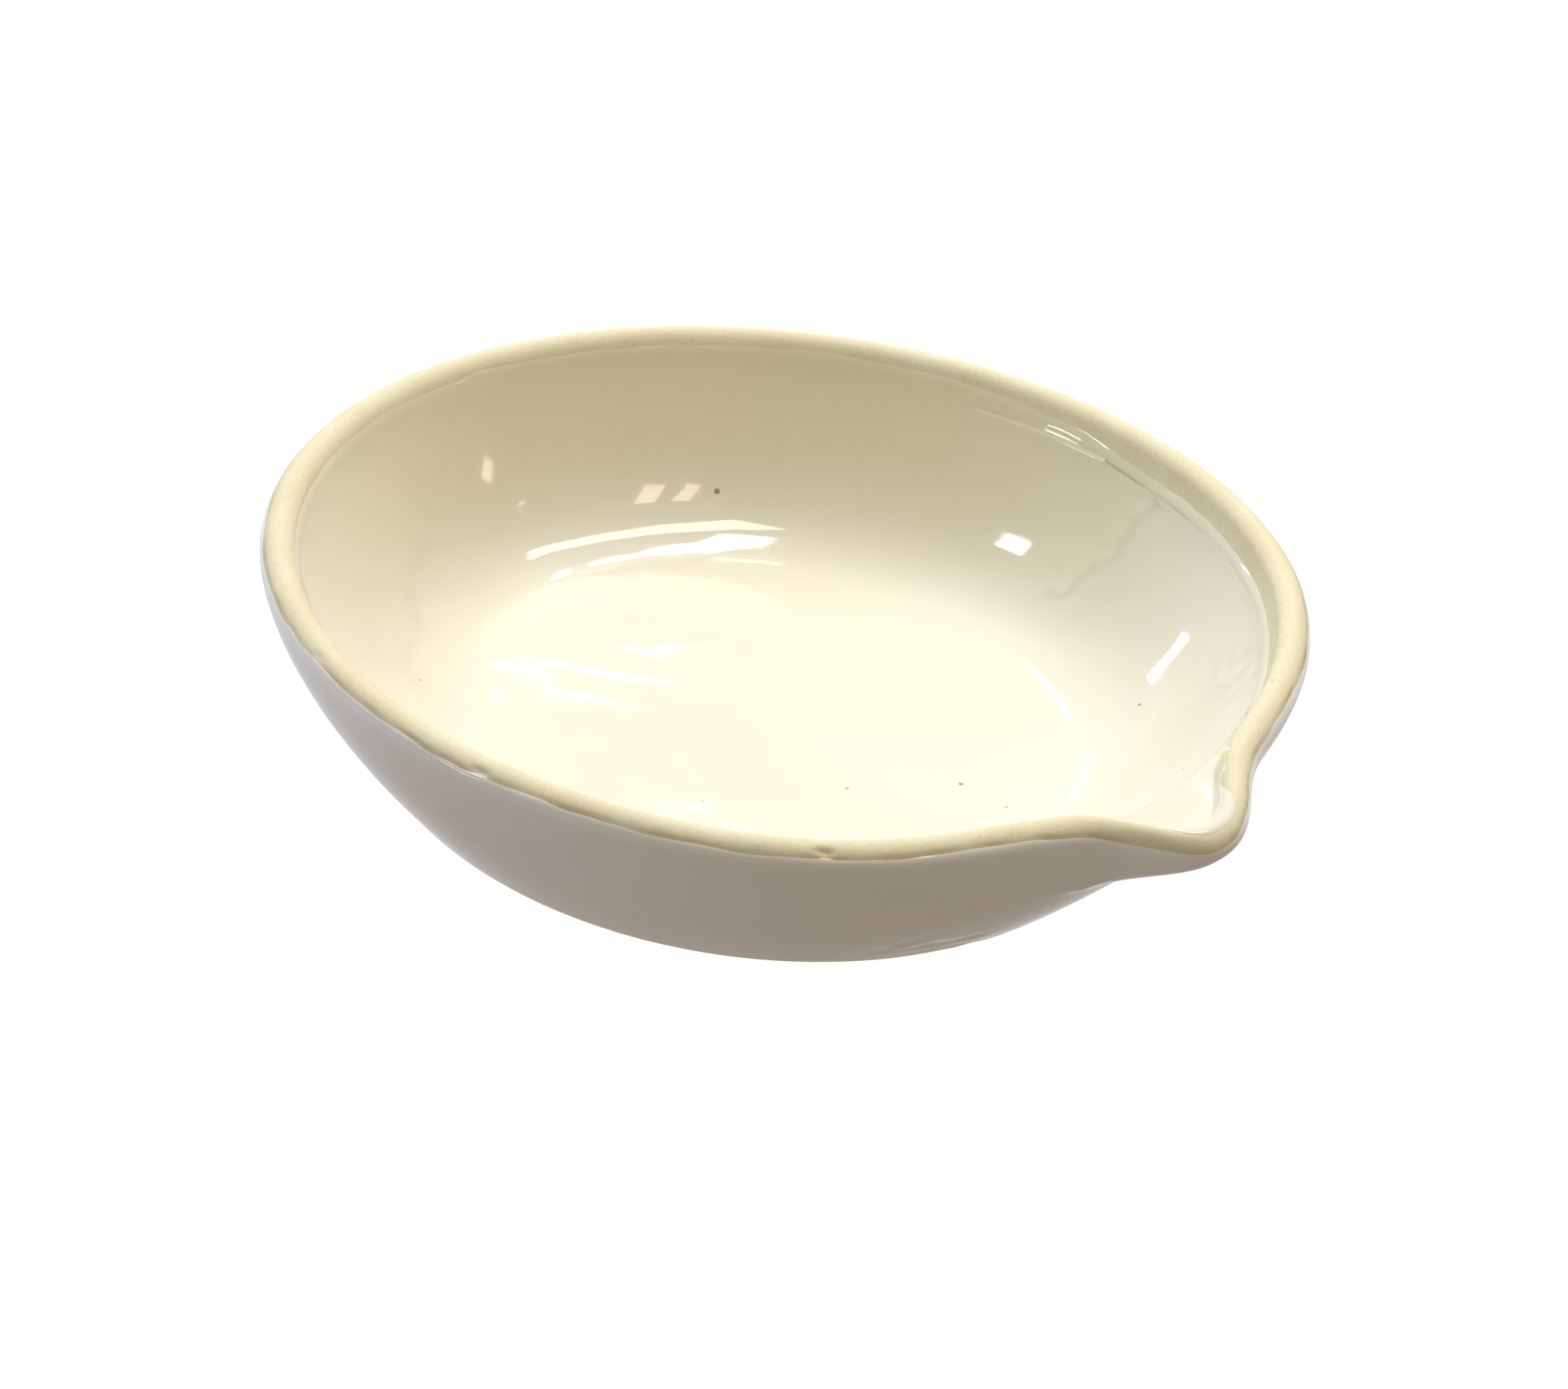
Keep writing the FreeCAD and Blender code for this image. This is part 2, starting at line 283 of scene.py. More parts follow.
def ripple(points, wavelength, seed, waves=16):
    """Smooth unevenness of about that wavelength in millimetres, mostly between -1 and 1."""
    chance = np.random.default_rng(seed)
    ways = chance.normal(size=(waves, 3))
    ways *= (2.0 * math.pi / wavelength) * chance.uniform(0.6, 1.5, (waves, 1)) / np.linalg.norm(
        ways, axis=1, keepdims=True)
    phases = chance.uniform(0.0, 2.0 * math.pi, waves)
    return np.sin(points @ ways.T + phases).sum(axis=-1) / math.sqrt(waves)


def mesh_piece(name, grid, ring):
    """A closed mesh from a grid of points round the dish. Its rows close on themselves if ring
    is true, and otherwise the first and the last row each close on a point in the middle."""
    around, rows = grid.shape[:2]
    points = grid.reshape(-1, 3)
    index = np.arange(around * rows).reshape(around, rows)
    beside = np.roll(index, -1, axis=0)
    if ring:
        index, beside = (np.concatenate([part, part[:, :1]], axis=1) for part in (index, beside))
    quads = np.stack([index[:, :-1], beside[:, :-1], beside[:, 1:], index[:, 1:]], axis=-1).reshape(-1, 4)
    faces = quads[:, ::-1].tolist()
    if not ring:
        ends = [grid[:, row].mean(0, keepdims=True) for row in (0, -1)]
        points = np.concatenate([points, *ends])
        first, last = len(points) - 2, len(points) - 1
        faces += [(int(a), int(b), first) for a, b in zip(index[:, 0], beside[:, 0])]
        faces += [(int(b), int(a), last) for a, b in zip(index[:, -1], beside[:, -1])]
    mesh = bpy.data.meshes.new(name)
    mesh.from_pydata((points * MM).tolist(), [], faces)
    mesh.polygons.foreach_set("use_smooth", [True] * len(mesh.polygons))
    mesh.update()
    piece = bpy.data.objects.new(name, mesh)
    bpy.context.scene.collection.objects.link(piece)
    return piece


def store(piece, name, values):
    """Keep a number for each point of a piece's grid, for its material to read."""
    attribute = piece.data.attributes.new(name, "FLOAT", "POINT")
    ends = np.zeros(len(piece.data.vertices) - values.size)
    attribute.data.foreach_set("value", np.concatenate([values.ravel(), ends]))


# Places on the dish are (degrees round from the lip, millimetres travelled from the middle).
# A degree round the dish counts as its width at the floor's edge times this, about as on the wall.
PATH_WIDENING = 1.3

# Where the inner glaze's run and overlap lie, a raised thread on its far wall, the wrinkled
# patches of both coats, and the bead that hangs under the lip.
RUN_PATH = [(86.5, 49.0), (85.5, 45.0), (86.0, 42.0), (86.8, 39.0), (87.2, 37.0), (89.0, 35.3),
            (91.5, 34.6)]
OVERLAP_PATH = [(-162.0, 48.5), (-163.5, 45.0), (-165.5, 41.0), (-160.5, 38.3), (-145.0, 32.6),
                (-123.0, 30.2)]
THREAD_PATH = [(179.0, 46.5), (175.0, 40.5), (172.5, 34.0)]
WRINKLE_PATH = [(-24.0, 70.0), (-12.0, 73.5)]
INNER_WRINKLES = [(50.5, 42.0), (44.5, 45.0)]
HANGING_BEAD = (-7.0, 60.3)
# Chips in the rim are (angle, travel, size, depth).
CHIPS = [(-39.2, 52.7, 0.35, 0.30), (-75.0, 52.9, 0.30, 0.25), (-101.0, 52.8, 0.25, 0.15),
         (31.0, 51.0, 0.3, 0.2)]
# A patch of the floor with wavier glaze.
POOL, POOL_SPREAD = (-17.0, 0.0), 14.0
# How far the glaze lines stray on the rim: up over the tip of the lip, out at a drop beside it,
# back on the left, and down under the lip, each at an angle and over a spread in degrees.
TIP_GLAZE, TIP_GLAZE_ANGLE, TIP_GLAZE_SPREAD = 2.6, 1.5, 6.5
DROP_ANGLE, DROP_SPREAD, DROP_REACH = 13.5, 3.0, 1.5
LOW_LINE, LOW_LINE_ANGLE, LOW_LINE_SPREAD = 1.5, 62.0, 42.0
LOW_BROW, LOW_BROW_ANGLE, LOW_BROW_SPREAD = 0.6, -4.0, 7.0
# The painted warm shade on the far wall: its middle in degrees round the dish, and where and how fast it
# sets in.
WARM_SHADE_SIDE, WARM_SHADE_START, WARM_SHADE_WIDTH, WARM_SHADE_RISE = 155.0, -0.15, 0.95, 16.0
# The toned line on the porcelain: how far past the outer coat's edge it lies, and its width.
TONE_INSET, TONE_WIDTH = -0.12, 0.22

# The glaze run: its tongue's height, the width of that behind the ridge and of its foot, and the
# ridge's own height and width.
TONGUE_HEIGHT, TONGUE_WIDTH, TONGUE_FOOT = 0.09, 7.0, 6.0
RIDGE_HEIGHT, RIDGE_WIDTH = 0.07, 0.6

# How strongly the run and the overlap show in the inner glaze's colour: a greyer tint, partly thicker
# glaze and partly painted shade along their lines.
RUN_TINT, OVERLAP_TINT = 0.8, 0.25

# The drop of glaze beside the lip, the raised thread on the far wall and the bead under the lip.
DROP_HEIGHT, DROP_SIZE = 0.22, 1.1
THREAD_HEIGHT, THREAD_WIDTH = 0.018, 0.7
HANGING_HEIGHT, HANGING_SIZE, HANGING_LENGTH = 0.28, 1.1, 0.5

# A coat's edge: fine rows fill a band, in which it rolls down to the porcelain over a shorter way,
# with a low bead behind that. The edge and the underside lie sunk a little into the porcelain.
EDGE_BAND = 1.8
EDGE_ROLL = 1.1
BEAD_HEIGHT, BEAD_INSET, BEAD_WIDTH = 0.01, 1.0, 0.4
SUNK = 0.05

# Rows begin this far from the middle of the floor, and the body's end as far from the foot's.
# They get finer this far before the floor's edge and on both sides of the foot's edge, and on the
# rim until this far past the outer glaze line.
MIDDLE_GAP = 0.4
FLOOR_BAND, FOOT_BAND, RIM_BAND = 2.0, 1.0, 1.5

# The porcelain's wear sets in over this distance past the channel's step, and stops before the foot.
WEAR_DEPTH, WEAR_RISE = 0.015, 1.0


def rolled(distance):
    """Height of a coat over the porcelain at a distance from its edge, thickest in a low bead."""
    bulge = 1.0 - (1.0 - np.clip(distance / EDGE_ROLL, 0.0, 1.0)) ** 3
    bead = BEAD_HEIGHT * bell(distance - BEAD_INSET, BEAD_WIDTH) * bulge
    return (GLAZE_THICKNESS + SUNK) * bulge + bead - SUNK


def raised(travel, height):
    """Points at a height over the porcelain."""
    return place(ANGLE, travel) + normals(ANGLE, travel) * np.asarray(height)[..., None]


def beside(travel, path):
    """Millimetres from points of the dish to a path of (angle, travel) corners, and how far along
    it the nearest place lies. The distance is positive on the path's left."""
    off = np.degrees(np.broadcast_to(ANGLE, travel.shape))
    scale = math.radians(1.0) * FLOOR_RADIUS * PATH_WIDENING
    nearest, side, along = np.full(travel.shape, 1e9), np.ones(travel.shape), np.zeros(travel.shape)
    reached = 0.0
    for (angle_a, travel_a), (angle_b, travel_b) in zip(path, path[1:]):
        ahead = np.array([(angle_b - angle_a) * scale, travel_b - travel_a])
        length = np.hypot(*ahead)
        x, y = (off - angle_a) * scale, travel - travel_a
        share = np.clip((x * ahead[0] + y * ahead[1]) / length ** 2, 0.0, 1.0)
        apart = np.hypot(x - share * ahead[0], y - share * ahead[1])
        closer = apart < nearest
        nearest = np.where(closer, apart, nearest)
        side = np.where(closer, np.sign(ahead[0] * y - ahead[1] * x), side)
        along = np.where(closer, reached + share * length, along)
        reached += length
    return nearest * side, along / reached


def inner_edge():
    """Distance travelled, at each angle, to where the inner coat ends on the rim."""
    off = np.degrees(ANGLE[:, 0])
    wander = 0.10 * ripple(RING, 14.0, 3) + 0.05 * ripple(RING, 4.0, 4)
    wander = wander + TIP_GLAZE * bell(off - TIP_GLAZE_ANGLE, TIP_GLAZE_SPREAD, 4.0)
    wander = wander + DROP_REACH * bell(off - DROP_ANGLE, DROP_SPREAD, 3.0)
    wander = wander - LOW_LINE * bell(off - LOW_LINE_ANGLE, LOW_LINE_SPREAD, 4.0)
    return AT["inner_line"] + wander[:, None]


def outer_edge():
    """Distance travelled, at each angle, to where the outer coat begins on the rim."""
    off = np.degrees(ANGLE[:, 0])
    wander = 0.08 * ripple(RING, 16.0, 21) + 0.05 * ripple(RING, 4.0, 22)
    wander = wander + LOW_BROW * bell(off - LOW_BROW_ANGLE, LOW_BROW_SPREAD, 3.0)
    return AT["outer_line"] + wander[:, None]


def faded(along, start, end):
    """1 along a path, easing to 0 over a share of its length at its start and another at its end."""
    return ease(along / start) * ease((1.0 - along) / end)


def winding(along):
    """Millimetres that the glaze run strays to one side at a share of its length."""
    return 0.45 * np.sin(5.0 * along * math.pi) + 0.22 * np.sin(12.0 * along * math.pi + 1.0)


def glaze_run(travel):
    """A run of glaze down the wall: a winding ridge, with a thicker tongue of glaze behind it."""
    apart, along = beside(travel, RUN_PATH)
    apart = apart + winding(along)
    tongue = TONGUE_HEIGHT * ease(0.5 - apart / 0.7) * ease((apart + TONGUE_WIDTH) / TONGUE_FOOT)
    return faded(along, 0.08, 0.08) * (tongue + RIDGE_HEIGHT * bell(apart, RIDGE_WIDTH))


def glaze_overlap(travel):
    """The line where a second pour of the glaze ends on the wall: a low step with a soft lip."""
    apart, along = beside(travel, OVERLAP_PATH)
    apart = apart + 0.35 * np.sin(17.0 * along * math.pi) + 0.2 * np.sin(41.0 * along * math.pi)
    step = 0.03 * ease(0.5 + apart / 1.2) * bell(apart - 2.0, 5.0)
    return faded(along, 0.08, 0.15) * (step + 0.02 * bell(apart, 0.8))


def inner_unevenness(travel):
    """Millimetres that the inner coat's surface rises by, over the whole bowl."""
    points = place(ANGLE, travel)
    waves = 0.016 * ripple(points, 24.0, 11) + 0.004 * ripple(points, 8.0, 12)
    pooled = bell(np.linalg.norm(points[..., :2] - np.array(POOL), axis=-1), POOL_SPREAD)
    waves = waves + pooled * (0.020 * ripple(points, 7.5, 13) + 0.010 * ripple(points, 3.4, 14))
    line = AT["inner_line"]
    drop, _ = beside(travel, [(DROP_ANGLE, line - 0.6), (DROP_ANGLE, line + 1.2)])
    thread, _ = beside(travel, THREAD_PATH)
    wrinkled, _ = beside(travel, INNER_WRINKLES)
    waves = waves + 0.075 * ripple(points, 3.0, 15) * bell(wrinkled, 2.4)
    waves = waves + DROP_HEIGHT * bell(drop, DROP_SIZE) + THREAD_HEIGHT * bell(thread, THREAD_WIDTH)
    return waves + glaze_run(travel) + glaze_overlap(travel)


def pooling_and_painted_shade(travel):
    """How much greyer the inner glaze is painted, 0 to 1, along the run and the overlap: partly as
    thicker glaze, partly as painted shade along their lines.
    """
    run, along = beside(travel, RUN_PATH)
    run = run + winding(along)
    beside_run = bell(run + 0.2, 0.5) * faded(along, 0.05, 0.05)
    overlap, reached = beside(travel, OVERLAP_PATH)
    overlap = overlap + 0.5 * np.sin(7.0 * reached * math.pi)
    beside_overlap = bell(overlap, 1.0) * faded(reached, 0.08, 0.15)
    return RUN_TINT * beside_run + OVERLAP_TINT * beside_overlap


def painted_warm_shade_share(travel):
    """How much painted warm shade the inner glaze takes, 0 to 1: a darker yellow that stands in for the
    far wall's warm light and shade, only on the wall, and most far from the lip.
    """
    points = place(ANGLE, travel)
    side = math.radians(WARM_SHADE_SIDE)
    facing = (points[..., 0] * math.cos(side) + points[..., 1] * math.sin(side)) / RIM_RADIUS
    return ease((facing - WARM_SHADE_START) / WARM_SHADE_WIDTH) * ease((travel - AT["floor_edge"]) / WARM_SHADE_RISE)


def inner_coat():
    """The glaze that lines the bowl and the pouring channel, up to a wandering line on the rim."""
    edge = inner_edge()
    inset = back_from(edge, EDGE_BAND)
    travel = np.concatenate([
        np.full((ROUND_STEPS, 1), MIDDLE_GAP),
        stretch(MIDDLE_GAP, AT["floor_edge"] - FLOOR_BAND, 30),
        stretch(AT["floor_edge"] - FLOOR_BAND, AT["cove_end"], 20),
        stretch(AT["cove_end"], AT["sill"], 20),
        stretch(AT["sill"], inset, 32),
        stretch(inset, edge, 22, 1.7),
    ], axis=1)
    inward = length_at(edge) - length_at(travel)
    height = rolled(inward) + inner_unevenness(travel) * ease(inward / EDGE_ROLL)
    # Every fifth row comes back as the coat's underside.
    under = travel[:, ::-5]
    grid = np.concatenate([raised(travel, height), raised(under, np.full(under.shape, -SUNK))], axis=1)
    piece = mesh_piece("inner_glaze_coat", grid, False)
    # Greyer along the run and the overlap: partly thicker glaze, partly painted shade along their lines.
    store(piece, "pooled", np.concatenate([pooling_and_painted_shade(travel), 0.0 * under], axis=1))
    # Painted warm shade on the far wall.
    store(piece, "painted_warm_shade_mask", np.concatenate([painted_warm_shade_share(travel), 0.0 * under], axis=1))
    return piece


def outer_unevenness(travel):
    """Millimetres that the outer coat's surface rises by: slow waves, a patch of wrinkled glaze
    above the foot, and a bead hanging under the lip."""
    points = place(ANGLE, travel)
    waves = 0.02 * ripple(points, 18.0, 31) + 0.005 * ripple(points, 6.0, 32)
    patch, _ = beside(travel, WRINKLE_PATH)
    angle, top = HANGING_BEAD
    bead, _ = beside(travel, [(angle, top), (angle, top + HANGING_LENGTH)])
    waves = waves + 0.06 * ripple(points, 3.2, 33) * bell(patch, 2.4)
    return waves + HANGING_HEIGHT * bell(bead, HANGING_SIZE)


def outer_coat():
    """The glaze on the outer wall, from the rim down to the bare margin above the foot."""
    top = outer_edge()
    bottom = AT["foot"] - FOOT_MARGIN + (0.08 * ripple(RING, 9.0, 23))[:, None]
    below_top, above_bottom = back_from(top, -EDGE_BAND), back_from(bottom, EDGE_BAND)
    travel = np.concatenate([
        top,
        stretch(top, below_top, 24, 0.6),
        stretch(below_top, above_bottom, 70),
        stretch(above_bottom, bottom, 24, 1.7),
    ], axis=1)
    distance = length_at(travel)
    distance = np.minimum(distance - distance[:, :1], distance[:, -1:] - distance)
    height = rolled(distance) + outer_unevenness(travel) * ease(distance / EDGE_ROLL)
    # Every eighth row comes back as the coat's underside, but none of those close to its edges.
    under = travel[:, -13:12:-8]
    grid = np.concatenate([raised(travel, height), raised(under, np.full(under.shape, -SUNK))], axis=1)
    return mesh_piece("outer_glaze_coat", grid, True)


def porcelain():
    """The fired body, which shows bare on the rim, at the foot and below. Its "toned" attribute
    rises above 0 in a thin line beside the outer coat, where the porcelain has taken up colour."""
    rim_end = AT["outer_line"] + RIM_BAND
    travel = np.concatenate([
        np.full((ROUND_STEPS, 1), MIDDLE_GAP),
        stretch(MIDDLE_GAP, AT["floor_edge"], 8),
        stretch(AT["floor_edge"], AT["sill"], 14),
        stretch(AT["sill"], rim_end, 76),
        stretch(rim_end, AT["foot"] - FOOT_BAND, 24),
        stretch(AT["foot"] - FOOT_BAND, AT["foot"] + FOOT_BAND, 12),
        stretch(AT["foot"] + FOOT_BAND, TRAVEL[-1] - MIDDLE_GAP, 12),
    ], axis=1)
    wear = WEAR_DEPTH * ripple(place(ANGLE, travel), 5.0, 41)
    for angle, at, size, depth in CHIPS:
        chip, _ = beside(travel, [(angle, at), (angle + 0.4, at + 0.1)])
        wear = wear - depth * bell(chip, size)
    shown = ease((travel - AT["sill"]) / WEAR_RISE) * ease((AT["foot"] - travel) / WEAR_RISE)
    piece = mesh_piece("porcelain_body", raised(travel, wear * shown), False)
    down = length_at(travel) - length_at(outer_edge())
    strength = np.clip(0.45 + 0.30 * ripple(RING, 5.0, 42), 0.1, 1.0)[:, None]
    store(piece, "toned", strength * bell(down - TONE_INSET, TONE_WIDTH))
    return piece


# The camera's lens and sensor, the way it looks, and the place on the dish that it looks at.
CAMERA_LENS, CAMERA_SENSOR = 98.06, 36.0
CAMERA_HEADING = math.radians(134.8)
CAMERA_DIP = math.radians(30.695)
CAMERA_ROLL = math.radians(7.552)
CAMERA_DISTANCE = 360.0
CAMERA_AIM = (5.655, -3.142, 9.175)


def make_camera():
    """The camera looks down over the dish from its near side and is tilted a little to one side."""
    data = bpy.data.cameras.new("camera")
    data.sensor_fit, data.sensor_width, data.lens = "HORIZONTAL", CAMERA_SENSOR, CAMERA_LENS
    data.clip_start, data.clip_end = 0.01, 20.0
    level_part = math.cos(CAMERA_DIP)
    ahead = Vector((math.cos(CAMERA_HEADING) * level_part, math.sin(CAMERA_HEADING) * level_part,
                    -math.sin(CAMERA_DIP)))
    level = ahead.to_track_quat("-Z", "Y")
    camera = bpy.data.objects.new("camera", data)
    camera.rotation_mode = "QUATERNION"
    camera.rotation_quaternion = level @ Matrix.Rotation(CAMERA_ROLL, 3, "Z").to_quaternion()
    camera.location = (Vector(CAMERA_AIM) - CAMERA_DISTANCE * ahead) * MM
    bpy.context.scene.collection.objects.link(camera)
    bpy.context.scene.camera = camera


def material_nodes(name):
    """A new material, its node tree and its Principled shader."""
    material = bpy.data.materials.new(name)
    material.use_nodes = True
    tree = material.node_tree
    return material, tree, tree.nodes["Principled BSDF"]


def noise(tree, wavelength, detail=2.0, rough=0.5):
    """A cloudy pattern in the object's own space with features of about that many millimetres."""
    where = tree.nodes.new("ShaderNodeTexCoord")
    clouds = tree.nodes.new("ShaderNodeTexNoise")
    clouds.inputs["Scale"].default_value = 1.0 / (wavelength * MM)
    clouds.inputs["Detail"].default_value = detail
    clouds.inputs["Roughness"].default_value = rough
    tree.links.new(where.outputs["Object"], clouds.inputs["Vector"])
    return clouds.outputs["Fac"]


def spread(tree, value, from_low, from_high, low, high):
    """A value eased from one range to another."""
    ranged = tree.nodes.new("ShaderNodeMapRange")
    ranged.interpolation_type = "SMOOTHSTEP"
    limits = {"From Min": from_low, "From Max": from_high, "To Min": low, "To Max": high}
    for socket, number in limits.items():
        ranged.inputs[socket].default_value = number
    tree.links.new(value, ranged.inputs["Value"])
    return ranged.outputs["Result"]


def mixed(tree, share, under, over):
    """A colour that goes from one colour or socket to another as the share goes from 0 to 1."""
    mix = tree.nodes.new("ShaderNodeMix")
    mix.data_type = "RGBA"
    tree.links.new(share, mix.inputs["Factor"])
    for name, colour in (("A", under), ("B", over)):
        socket = next(entry for entry in mix.inputs if entry.name == name and entry.type == "RGBA")
        if isinstance(colour, tuple):
            socket.default_value = (*colour, 1.0)
        else:
            tree.links.new(colour, socket)
    return next(entry for entry in mix.outputs if entry.type == "RGBA")


def spot(tree, angle, travel, size):
    """1 inside a small round spot on the dish's surface and 0 outside it, as a socket."""
    middle = place(np.array([[math.radians(angle)]]), np.array([[travel]]))[0, 0] * MM
    where = tree.nodes.new("ShaderNodeTexCoord")
    apart = tree.nodes.new("ShaderNodeVectorMath")
    apart.operation = "DISTANCE"
    apart.inputs[1].default_value = tuple(middle)
    tree.links.new(where.outputs["Object"], apart.inputs[0])
    return spread(tree, apart.outputs["Value"], 0.5 * size * MM, size * MM, 1.0, 0.0)


def bumped(tree, shader, value, height, normal=None):
    """Unevenness of the surface, as a height in millimetres for a value of 1."""
    bump = tree.nodes.new("ShaderNodeBump")
    bump.inputs["Distance"].default_value = height * MM
    tree.links.new(value, bump.inputs["Height"])
    if normal is not None:
        tree.links.new(normal, bump.inputs["Normal"])
    tree.links.new(bump.outputs["Normal"], shader.inputs["Normal"])
    return bump.outputs["Normal"]


# Colours, and the specks in the inner glaze as (angle, travel, size, colour).
RIM_PALE, RIM_SANDY, RIM_GRAIN = (0.745, 0.712, 0.57), (0.715, 0.675, 0.51), (0.62, 0.53, 0.33)
RIM_TONED = (0.54, 0.44, 0.28)
INNER_PALE, INNER_DEEP = (0.84, 0.83, 0.78), (0.81, 0.795, 0.74)
# The grey along the run and the overlap is partly painted shade, and the yellow is painted warm shade on
# the far wall.
POOLED_AND_SHADE_GREY, PAINTED_WARM_SHADE = (0.66, 0.65, 0.59), (0.74, 0.71, 0.54)
OUTER_PALE, OUTER_DEEP = (0.82, 0.83, 0.84), (0.78, 0.775, 0.76)
BROWN_SPECK, GREEN_SPECK, GREY_SPECK = (0.42, 0.26, 0.10), (0.30, 0.27, 0.14), (0.45, 0.42, 0.32)
DROP_TINT = (0.72, 0.68, 0.42)
INNER_SPECKS = [
    (147.5, 35.7, 0.40, GREEN_SPECK),
    (24.5, 18.8, 0.32, BROWN_SPECK),
    (-6.0, 12.5, 0.26, GREY_SPECK),
    (-61.0, 15.1, 0.28, GREY_SPECK),
    (-131.0, 29.9, 0.26, GREY_SPECK),
    (21.5, 23.5, 0.24, GREY_SPECK),
    (30.0, 39.4, 0.26, GREY_SPECK),
    (57.0, 33.8, 0.26, BROWN_SPECK),
    (DROP_ANGLE, 51.4, 1.60, DROP_TINT),
]


def glaze(name, pale, deep, specks):
    """A clear, glossy glaze over cream porcelain, a little uneven in colour and surface. The inner coat's
    attributes turn it greyer along its run and overlap, partly as thicker glaze and partly as painted
    shade along their lines, and paint a warm shade, darker and yellower, on the far wall."""
    material, tree, shader = material_nodes(name)
    colour = mixed(tree, spread(tree, noise(tree, 26.0), 0.35, 0.65, 0.0, 1.0), pale, deep)
    colour = mixed(tree, spread(tree, noise(tree, 1.2, 4.0), 0.55, 0.9, 0.0, 0.35), colour, deep)
    # Greyer along the run and the overlap: partly thicker glaze, partly painted shade along their lines.
    pooled = tree.nodes.new("ShaderNodeAttribute")
    pooled.attribute_name = "pooled"
    colour = mixed(tree, pooled.outputs["Fac"], colour, POOLED_AND_SHADE_GREY)
    # Painted warm shade: the far wall is mixed towards a darker yellow that stands in for its warm light
    # and shade.
    painted_warm_shade_mask = tree.nodes.new("ShaderNodeAttribute")
    painted_warm_shade_mask.attribute_name = "painted_warm_shade_mask"
    colour = mixed(tree, painted_warm_shade_mask.outputs["Fac"], colour, PAINTED_WARM_SHADE)
    for angle, travel, size, tint in specks:
        colour = mixed(tree, spot(tree, angle, travel, size), colour, tint)
    tree.links.new(colour, shader.inputs["Base Color"])
    rough = spread(tree, noise(tree, 3.0, 5.0, 0.65), 0.35, 0.75, 0.03, 0.10)
    tree.links.new(rough, shader.inputs["Roughness"])
    shader.inputs["IOR"].default_value = 1.5
    waves = bumped(tree, shader, noise(tree, 5.0, 1.0), 0.012)
    bumped(tree, shader, noise(tree, 0.9, 2.0), 0.0012, waves)
    return material


def bare_porcelain():
    """Fired porcelain without glaze: matt, sandy, and toned brown beside the outer glaze."""
    material, tree, shader = material_nodes("bare porcelain")
    grain = noise(tree, 0.35, 4.0, 0.7)
    colour = mixed(tree, spread(tree, noise(tree, 6.0, 3.0), 0.3, 0.7, 0.0, 1.0), RIM_PALE, RIM_SANDY)
    colour = mixed(tree, spread(tree, grain, 0.5, 0.72, 0.0, 0.55), colour, RIM_GRAIN)
    toned = tree.nodes.new("ShaderNodeAttribute")
    toned.attribute_name = "toned"
    colour = mixed(tree, toned.outputs["Fac"], colour, RIM_TONED)
    tree.links.new(colour, shader.inputs["Base Color"])
    tree.links.new(spread(tree, grain, 0.3, 0.7, 0.62, 0.9), shader.inputs["Roughness"])
    pits = bumped(tree, shader, grain, 0.02)
    bumped(tree, shader, noise(tree, 1.6, 3.0), 0.04, pits)
    return material


# The ceiling's height over the foot, and the colours of the lights.
CEILING = 600.0
WARM_WHITE, COOL_WHITE, PINK_WHITE = (1.0, 0.97, 0.88), (0.95, 0.97, 1.0), (1.0, 0.85, 0.72)
WARM_KEY, COOL_KEY = (1.0, 0.94, 0.80), (0.75, 0.87, 1.0)


def mirrored(angle, travel):
    """A place on the dish, and the direction that the camera sees mirrored there."""
    at = np.array([[math.radians(angle)]]), np.array([[travel]])
    point, normal = place(*at)[0, 0], normals(*at)[0, 0]
    sight = point - np.array(bpy.context.scene.camera.location) / MM
    sight = sight / np.linalg.norm(sight)
    return point, sight - 2.0 * (sight @ normal) * normal


def towards(azimuth, elevation):
    """The middle of the dish's foot, and a direction from it."""
    az, el = math.radians(azimuth), math.radians(elevation)
    return np.zeros(3), np.array([math.cos(az) * math.cos(el), math.sin(az) * math.cos(el), math.sin(el)])


def area_light(name, size, radiance, colour):
    """A flat rectangular light of a size in millimetres, which the camera doesn't see directly."""
    data = bpy.data.lights.new(name, "AREA")
    data.shape, data.size, data.size_y = "RECTANGLE", size[0] * MM, size[1] * MM
    data.energy = radiance * math.pi * size[0] * size[1] * MM * MM
    data.color = colour
    light = bpy.data.objects.new(name, data)
    light.visible_camera = False
    bpy.context.scene.collection.objects.link(light)
    return light


def lamp(name, sight, distance, size, radiance, colour, spin=0.0):
    """A light that faces a place from a direction, given together, at a distance from it."""
    light = area_light(name, size, radiance, colour)
    point, way = (Vector(part) for part in sight)
    light.rotation_mode = "QUATERNION"
    turn = Quaternion((0.0, 0.0, 1.0), math.radians(spin))
    light.rotation_quaternion = way.to_track_quat("Z", "Y") @ turn
    light.location = (point + way * distance) * MM
    return light


def ceiling_light(name, start, end, width, radiance, colour):
    """A long light that hangs level over the dish, between two places in ceiling heights."""
    light = area_light(name, (math.dist(start, end) * CEILING, width), radiance, colour)
    light.rotation_euler = (0.0, 0.0, math.atan2(end[1] - start[1], end[0] - start[0]))
    middle = between(start, end, 0.5)
    light.location = (middle[0] * CEILING * MM, middle[1] * CEILING * MM, CEILING * MM)
    return light


